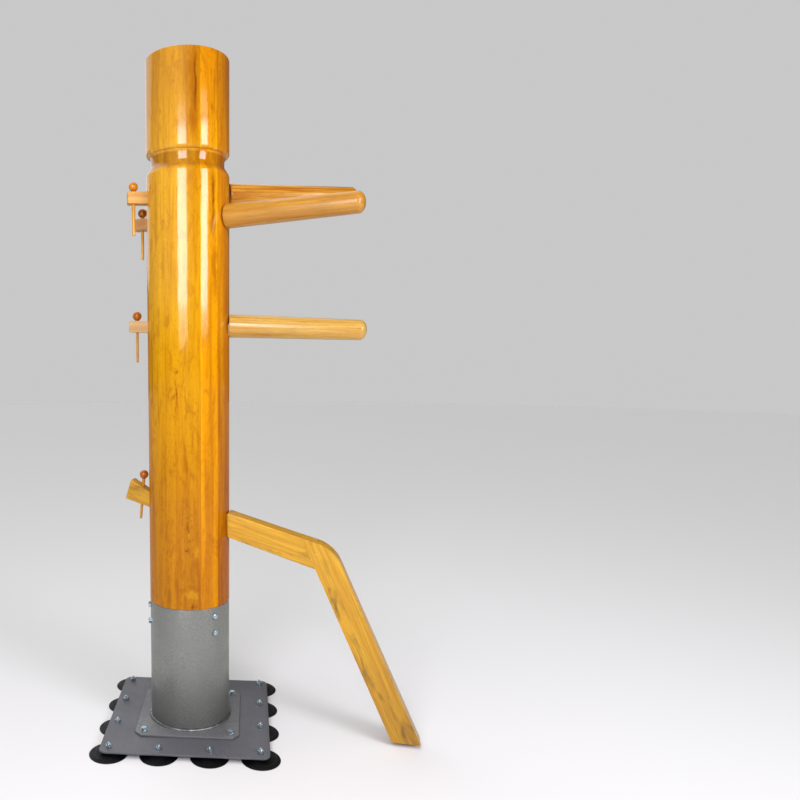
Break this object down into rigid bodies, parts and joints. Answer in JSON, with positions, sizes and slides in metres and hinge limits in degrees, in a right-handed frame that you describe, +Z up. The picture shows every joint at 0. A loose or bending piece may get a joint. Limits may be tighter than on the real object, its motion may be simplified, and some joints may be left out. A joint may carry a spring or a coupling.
{
  "type": "wooden wing dummy",
  "caption": "Free-standing striking post of varnished wood with tapered arms and a bent leg held by pegs, in a steel socket on a square plate with suction cups.",
  "frame": {"origin": "middle of the whole dummy's outline seen from above, on the floor that the suction cups stand on", "axes": "+Z up; +X the way the middle arm and the leg point; +Y the dummy's own left side"},
  "size_m": [0.8166, 0.4794, 1.658],
  "materials": {
    "varnished_wood": "glossy clear varnish over glued amber staves",
    "arm_wood": "satin varnish, straight pale grain",
    "leg_wood": "satin varnish, straight pale grain",
    "peg_wood": "glossy orange-brown varnish",
    "dowel_wood": "satin end grain",
    "socket_paint": "satin silver-grey paint",
    "plate_paint": "satin grey hammered paint",
    "weld_metal": "painted fillet weld with a rippled bead",
    "zinc": "bright zinc plating",
    "rubber": "matte black moulded rubber"
  },
  "bodies": {
    "stand": {"trunk": "varnished_wood", "socket_tube": "socket_paint", "weld_bead": "weld_metal", "socket_flange": "plate_paint", "base_plate": "plate_paint", "socket_bolt_1_upper": "zinc", "socket_bolt_1_lower": "zinc", "socket_bolt_2_upper": "zinc", "socket_bolt_2_lower": "zinc", "socket_bolt_3_upper": "zinc", "socket_bolt_3_lower": "zinc", "suction_cup_1": "rubber", "suction_cup_2": "rubber", "suction_cup_3": "rubber", "suction_cup_4": "rubber", "suction_cup_5": "rubber", "suction_cup_6": "rubber", "suction_cup_7": "rubber", "suction_cup_8": "rubber", "suction_cup_9": "rubber", "suction_cup_10": "rubber", "suction_cup_11": "rubber", "suction_cup_12": "rubber", "cup_stud_1": "zinc", "cup_stud_2": "zinc", "cup_stud_3": "zinc", "cup_stud_4": "zinc", "cup_stud_5": "zinc", "cup_stud_6": "zinc", "cup_stud_7": "zinc", "cup_stud_8": "zinc", "cup_stud_9": "zinc", "cup_stud_10": "zinc", "cup_stud_11": "zinc", "cup_stud_12": "zinc", "flange_bolt_1": "zinc", "flange_washer_1": "zinc", "flange_nut_1": "zinc", "flange_bolt_2": "zinc", "flange_washer_2": "zinc", "flange_nut_2": "zinc", "flange_bolt_3": "zinc", "flange_washer_3": "zinc", "flange_nut_3": "zinc", "flange_bolt_4": "zinc", "flange_washer_4": "zinc", "flange_nut_4": "zinc"},
    "upper_right_arm": {"arm_upper_right": "arm_wood"},
    "upper_left_arm": {"arm_upper_left": "arm_wood"},
    "middle_arm": {"arm_middle": "arm_wood"},
    "leg": {"leg_thigh": "leg_wood", "leg_shin": "leg_wood", "knee_dowel": "dowel_wood"},
    "upper_right_peg": {"peg_upper_right": "peg_wood"},
    "upper_left_peg": {"peg_upper_left": "peg_wood"},
    "middle_peg": {"peg_middle": "peg_wood"},
    "leg_peg": {"peg_leg": "peg_wood"}
  },
  "joints": [
    {"name": "upper_right_arm_slide", "type": "slide", "parent": "stand", "child": "upper_right_arm", "axis": [0.9568, -0.2907, 0.0105], "range_m": [0, 0.014]},
    {"name": "upper_left_arm_slide", "type": "slide", "parent": "stand", "child": "upper_left_arm", "axis": [0.9562, 0.2923, 0.0157], "range_m": [0, 0.02]},
    {"name": "middle_arm_slide", "type": "slide", "parent": "stand", "child": "middle_arm", "axis": [0.999, 0, -0.0436], "range_m": [0, 0.017]},
    {"name": "leg_slide", "type": "slide", "parent": "stand", "child": "leg", "axis": [0.9499, -0.0848, -0.3007], "range_m": [0, 0.002]},
    {"name": "upper_right_peg_lift", "type": "slide", "parent": "upper_right_arm", "child": "upper_right_peg", "axis": [0, 0, 1], "range_m": [0, 0.095]},
    {"name": "upper_left_peg_lift", "type": "slide", "parent": "upper_left_arm", "child": "upper_left_peg", "axis": [0, 0, 1], "range_m": [0, 0.095]},
    {"name": "middle_peg_lift", "type": "slide", "parent": "middle_arm", "child": "middle_peg", "axis": [0, 0, 1], "range_m": [0, 0.095]},
    {"name": "leg_peg_lift", "type": "slide", "parent": "leg", "child": "leg_peg", "axis": [0.0868, -0.0078, 0.9962], "range_m": [0, 0.05]}
  ]
}
